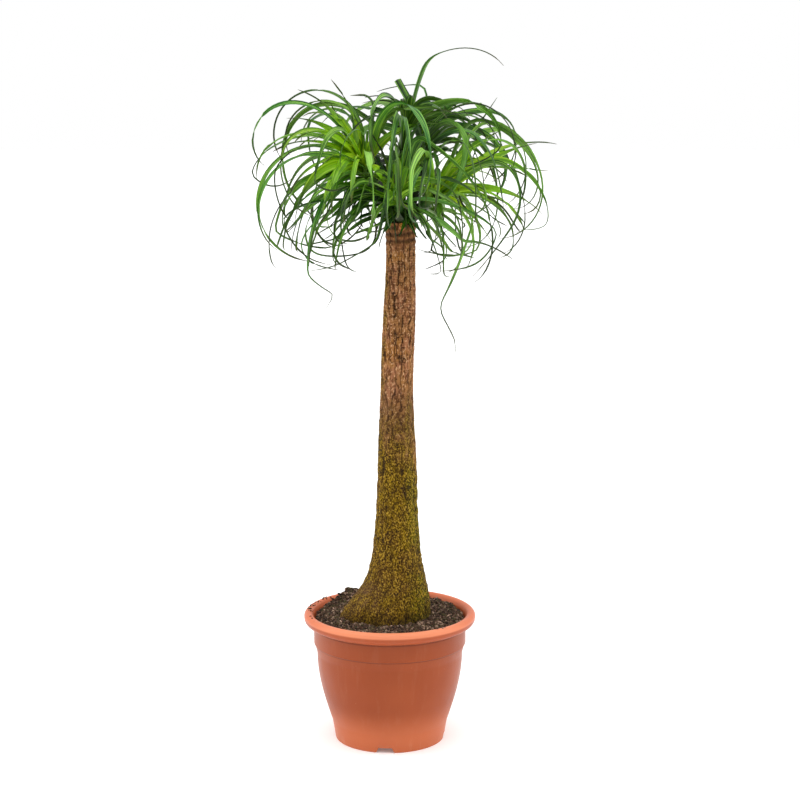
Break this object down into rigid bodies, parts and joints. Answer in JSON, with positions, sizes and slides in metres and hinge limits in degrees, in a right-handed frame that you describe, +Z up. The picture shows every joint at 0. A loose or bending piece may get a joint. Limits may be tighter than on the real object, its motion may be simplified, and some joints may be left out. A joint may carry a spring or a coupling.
{
  "type": "potted ponytail palm",
  "caption": "Potted ponytail palm: a tall bare trunk with a swollen foot, topped by shoots of long arching strap leaves, in soil in a plain plastic nursery pot.",
  "frame": {"origin": "centre of the pot's underside, on the surface that the pot stands on", "axes": "+Z up along the trunk, -Y towards the front, +X to the right seen from the front"},
  "size_m": [0.522, 0.5051, 1.2368],
  "materials": {
    "pot_plastic": "satin",
    "potting_soil": "matte",
    "bark": "matte",
    "leaf": "satin"
  },
  "bodies": {
    "root": {"pot": "pot_plastic", "soil": "potting_soil", "trunk": "bark", "head_left": "leaf", "head_front": "leaf", "head_right": "leaf", "head_back": "leaf", "head_top": "leaf"}
  },
  "joints": []
}
